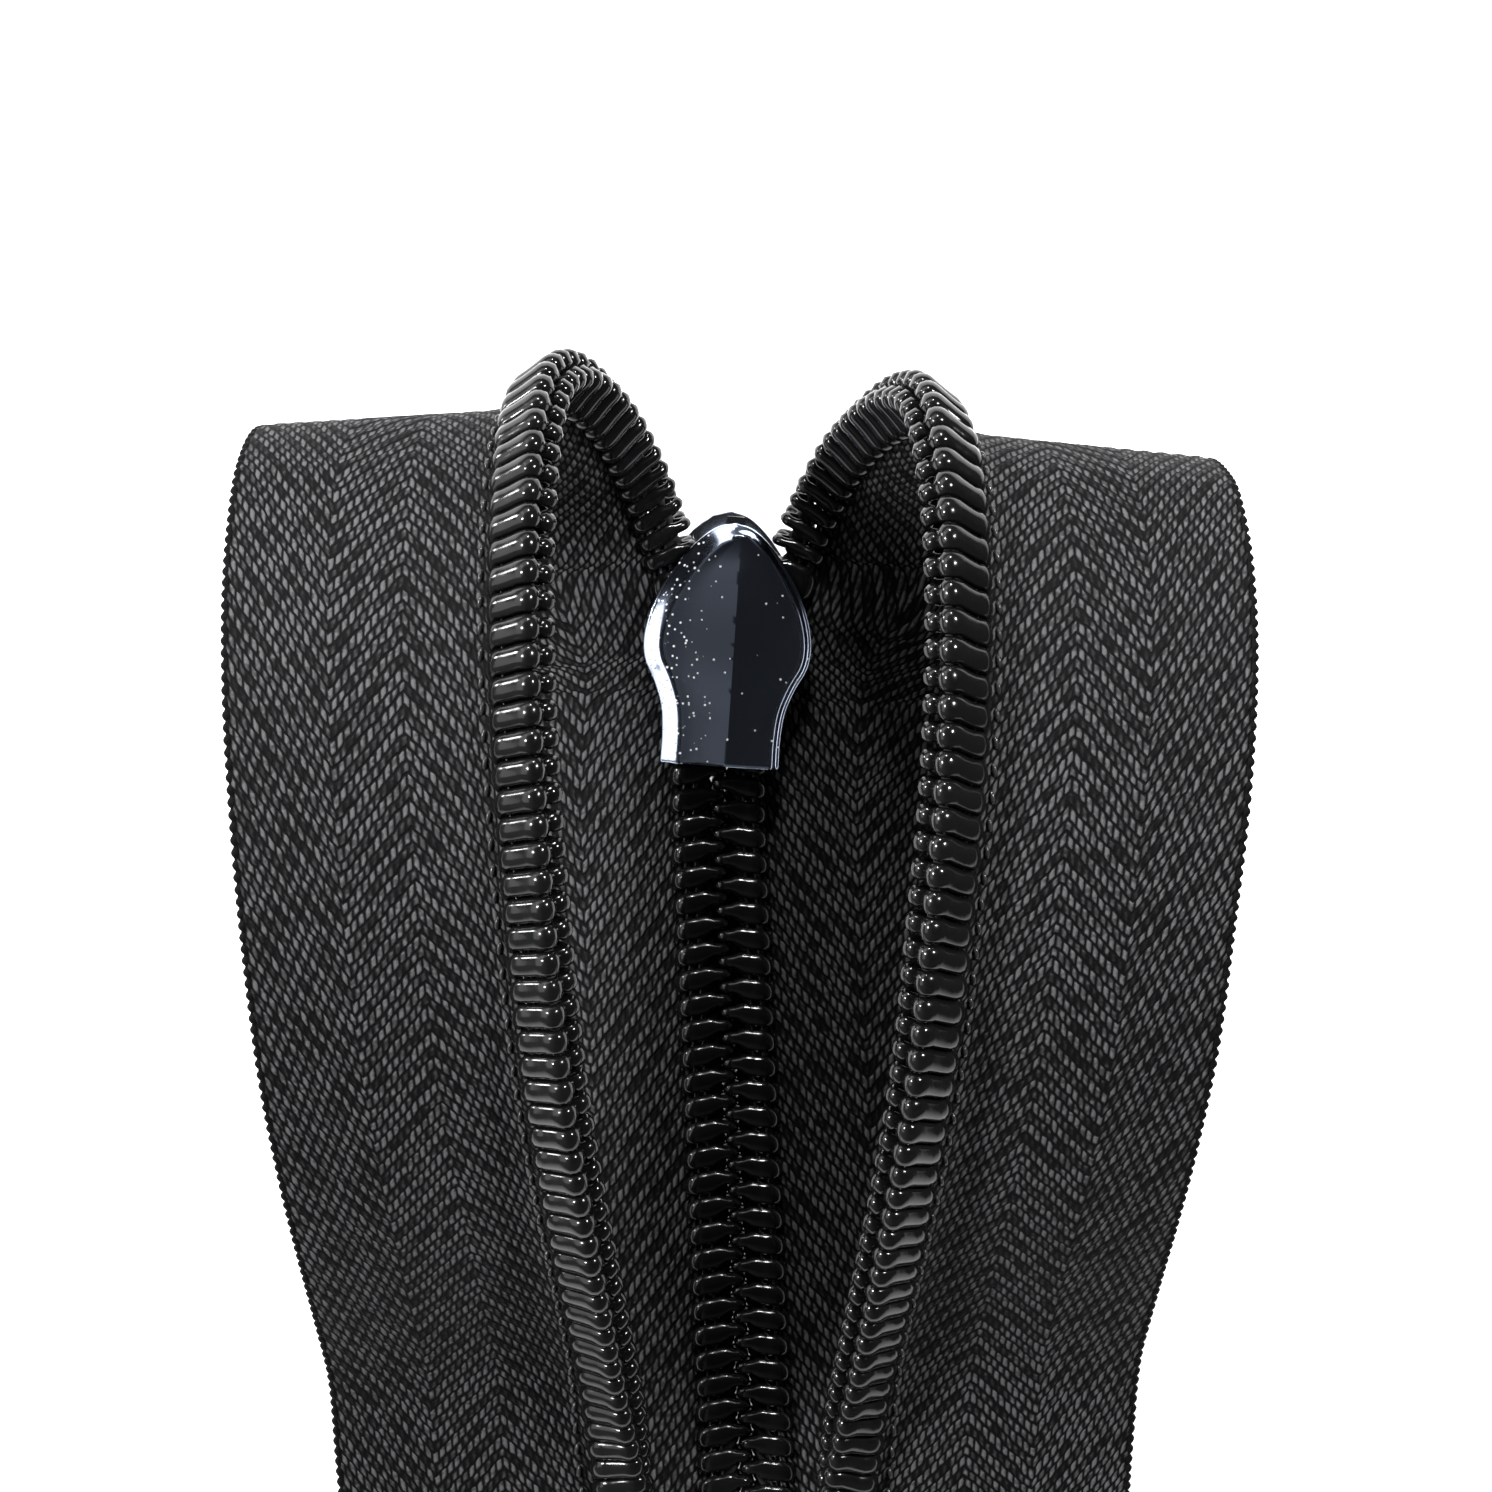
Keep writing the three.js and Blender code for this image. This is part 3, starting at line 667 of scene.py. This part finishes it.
def yarn_material(name, tone, roughness):
    n = Nodes(name)
    fibre = n.noise(2600)
    n.bump(fibre, 0.05, 0.8)
    n.set(Base_Color=n.mix(fibre, grey(tone * 0.45), grey(tone)))
    n.set(Roughness=n.range(fibre, 0.25, 0.75, roughness - 0.1, roughness + 0.12))
    n.set(Specular_IOR_Level=0.4)
    return n.material


def nylon_material():
    n = Nodes("coil_nylon")
    fine = n.noise(1500, 3)
    n.bump(fine, 0.012, 0.6)
    n.set(Base_Color=n.mix(n.noise(240, 2), grey(0.002), grey(0.005)))
    n.set(Roughness=n.range(fine, 0.3, 0.7, 0.10, 0.20), IOR=1.5, Specular_IOR_Level=0.3)
    return n.material


def metal_material(name, tone, roughness):
    n = Nodes(name)
    fine = n.noise(700, 4)
    n.bump(fine, 0.006, 0.6)
    n.set(Base_Color=tone, Metallic=1.0)
    n.set(Roughness=n.range(n.noise(230, 3), 0.35, 0.7, roughness, roughness + 0.06))
    return n.material


def slider_face_material():
    """Polished nickel with fine white specks of painted glint that crowd towards the left edge, where
    the light falls.
    """
    n = Nodes("slider_face_nickel")
    cells = n.node("ShaderNodeTexVoronoi")
    cells.inputs["Scale"].default_value = 3000
    n.link(n.node("ShaderNodeTexCoord").outputs["Object"], cells.inputs["Vector"])
    across = n.node("ShaderNodeAttribute", attribute_name="across").outputs["Fac"]
    # Painted glints: white non-metal specks, denser towards the left edge, where the light falls.
    density = n.range(across, -4.2, 0.8, 0.95, 0.06)
    lot = n.node("ShaderNodeSeparateXYZ")
    n.link(cells.outputs["Color"], lot.inputs[0])
    chosen = n.math("LESS_THAN", lot.outputs[0], density)
    spot = n.range(cells.outputs["Distance"], 0.12, 0.30, 1.0, 0.0)
    painted_glint_specks = n.math("MULTIPLY", spot, chosen)
    n.bump(n.math("ADD", painted_glint_specks, n.math("MULTIPLY", n.noise(700, 4), 0.2)), 0.010, 0.9)
    n.set(Base_Color=n.mix(painted_glint_specks, (0.46, 0.52, 0.66, 1), grey(0.9)))
    n.set(Metallic=n.math("SUBTRACT", 1.0, painted_glint_specks))
    n.set(Roughness=n.range(n.noise(230, 3), 0.35, 0.7, 0.10, 0.17))
    return n.material


def floor_material():
    n = Nodes("pale_floor")
    n.set(Base_Color=n.mix(n.noise(3, 2), grey(0.86), grey(0.9)), Roughness=0.6)
    n.set(Specular_IOR_Level=0.2, Emission_Color=grey(1.0), Emission_Strength=0.45)
    return n.material


MATERIALS = {
    "tape": woven_material(),
    "coil": nylon_material(),
    "cord": yarn_material("core_yarn", 0.008, 0.8),
    "thread": yarn_material("sewing_thread", 0.035, 0.25),
    "stop_metal": metal_material("stop_nickel", (0.45, 0.45, 0.48, 1), 0.25),
    "slider_metal": metal_material("slider_nickel", (0.58, 0.60, 0.64, 1), 0.12),
    "spring_steel": metal_material("spring_steel", (0.45, 0.45, 0.46, 1), 0.3),
}


def dress(obj, slot):
    obj.data.materials.clear()
    obj.data.materials.append(MATERIALS[slot])


def add_piece(obj, body, slot, *nodes):
    dress(obj, slot)
    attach(obj, body)
    if nodes:
        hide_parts(*nodes)
    return obj


# ---- the stringers ------------------------------------------------------------------------
def build_stringer(side, phase):
    line, body = LINES[side], f"{side}_stringer"
    tape = add_piece(build_tape(f"{side}_woven_tape", line), body, "tape", f"{side}_tape")
    selvage = add_piece(build_selvage(f"{side}_selvage", line), body, "tape")
    add_piece(build_coil(f"{side}_wound_coil", line, phase), body, "coil", f"{side}_coil")
    add_piece(build_core(f"{side}_core_strands", line), body, "cord", f"{side}_core_cord")
    for letter, u in NEEDLE_U.items():
        row = tubes(f"{side}_needle_stitches_{letter}", [stitch_row(line, phase, u, 1)])
        add_piece(row, body, "thread", f"{side}_needle_thread_{letter}")
    back = [stitch_row(line, phase, LOOPER_U, -1)] + dash_row(line, DASH_U, -1)
    add_piece(tubes(f"{side}_looper_stitches", back), body, "thread", f"{side}_looper_thread")


build_stringer("left", 0.0)
build_stringer("right", 0.5)

# ---- metal pieces -------------------------------------------------------------------------
face = add_piece(build_front_plate("slider_front_plate"), "slider", "slider_metal")
face.data.materials[0] = slider_face_material()
add_piece(build_rear_plate("slider_rear_plate"), "slider", "slider_metal")


def soften(name, slot, width_mm):
    """Rounds the edges of a CAD node that stays, and gives it its metal."""
    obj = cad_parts[name]
    dress(obj, slot)
    bevel = obj.modifiers.new("edges", "BEVEL")
    bevel.width = width_mm * MM
    bevel.segments = 3
    bevel.limit_method = "ANGLE"
    bevel.angle_limit = math.radians(35)
    bevel.harden_normals = False


for node, slot, width in (
        ("slider_body", "slider_metal", 0.06), ("slider_cap", "slider_metal", 0.22),
        ("pull_tab", "slider_metal", 0.2), ("lock_spring", "spring_steel", 0.04),
        ("bottom_stop", "stop_metal", 0.2), ("left_top_stop", "stop_metal", 0.18),
        ("right_top_stop", "stop_metal", 0.18)):
    soften(node, slot, width)


# ---- floor and light ----------------------------------------------------------------------
FLOOR_HALF, FLOOR_Z = 1500, -0.05


def build_floor():
    signs = ((-1, -1), (1, -1), (1, 1), (-1, 1))
    corners = [(x * FLOOR_HALF, y * FLOOR_HALF, FLOOR_Z) for x, y in signs]
    floor = new_mesh("floor", corners, [[0, 1, 2, 3]], False)
    floor.data.materials.append(floor_material())


def area_light(name, place_mm, aim_mm, size_mm, power):
    data = bpy.data.lights.new(name, "AREA")
    data.shape = "RECTANGLE"
    data.size, data.size_y = size_mm[0] * MM, size_mm[1] * MM
    data.energy = power
    light = bpy.data.objects.new(name, data)
    here, aim = np.array(place_mm, float), np.array(aim_mm, float)
    light.location = here * MM
    light.rotation_euler = Vector(aim - here).to_track_quat("-Z", "Y").to_euler()
    bpy.context.scene.collection.objects.link(light)


def studio_world():
    """Dark overhead and dim round the sides, brighter on the left."""
    world = bpy.data.worlds.new("studio")
    bpy.context.scene.world = world
    world.use_nodes = True
    tree = world.node_tree
    where = tree.nodes.new("ShaderNodeTexCoord")
    parts = tree.nodes.new("ShaderNodeSeparateXYZ")
    tree.links.new(where.outputs["Generated"], parts.inputs[0])

    def calculate(operation, first, second):
        made = tree.nodes.new("ShaderNodeMath")
        made.operation = operation
        for socket, value in zip(made.inputs, (first, second)):
            if isinstance(value, float):
                socket.default_value = value
            else:
                tree.links.new(value, socket)
        return made.outputs[0]

    def ramp(socket, low, high, to_low, to_high):
        made = tree.nodes.new("ShaderNodeMapRange")
        made.interpolation_type = "SMOOTHSTEP"
        for name, value in zip(("From Min", "From Max", "To Min", "To Max"),
                               (low, high, to_low, to_high)):
            made.inputs[name].default_value = value
        tree.links.new(socket, made.inputs["Value"])
        return made.outputs[0]

    leaning = calculate("ADD", parts.outputs[2], calculate("MULTIPLY", parts.outputs[0], 0.35))
    height = ramp(leaning, 0.62, 0.93, 1.0, 0.06)
    wall = ramp(parts.outputs[0], -0.75, -0.15, 0.35, 0.12)
    back = tree.nodes["Background"]
    back.inputs["Color"].default_value = (0.92, 0.96, 1.0, 1)
    glow = ramp(parts.outputs[0], -0.32, -0.03, 0.10, 0.012)
    total = calculate("ADD", calculate("MULTIPLY", height, wall), glow)
    tree.links.new(total, back.inputs["Strength"])


# Name, place, aim and size in millimetres, and power in watts.
LIGHTS = (
    ("key_left", (-250, 60, 290), (0, 20, 10), (40, 60), 1.75),
    ("key_right", (185, 130, 292), (0, 20, 10), (40, 60), 1.75),
    ("rim_behind", (10, 300, 210), (0, 10, 5), (30, 30), 0.8),
    ("window_left", (-245, 75, 180), (0, 20, 10), (380, 150), 0.42),
    ("window_behind", (-130, 262, 200), (0, 20, 10), (260, 150), 0.27),
    ("streak_left", (-355, 180, 95), (0, 20, 15), (50, 50), 0.6),
)

build_floor()
studio_world()
for light in LIGHTS:
    area_light(*light)
bpy.context.scene.view_settings.view_transform = "Standard"
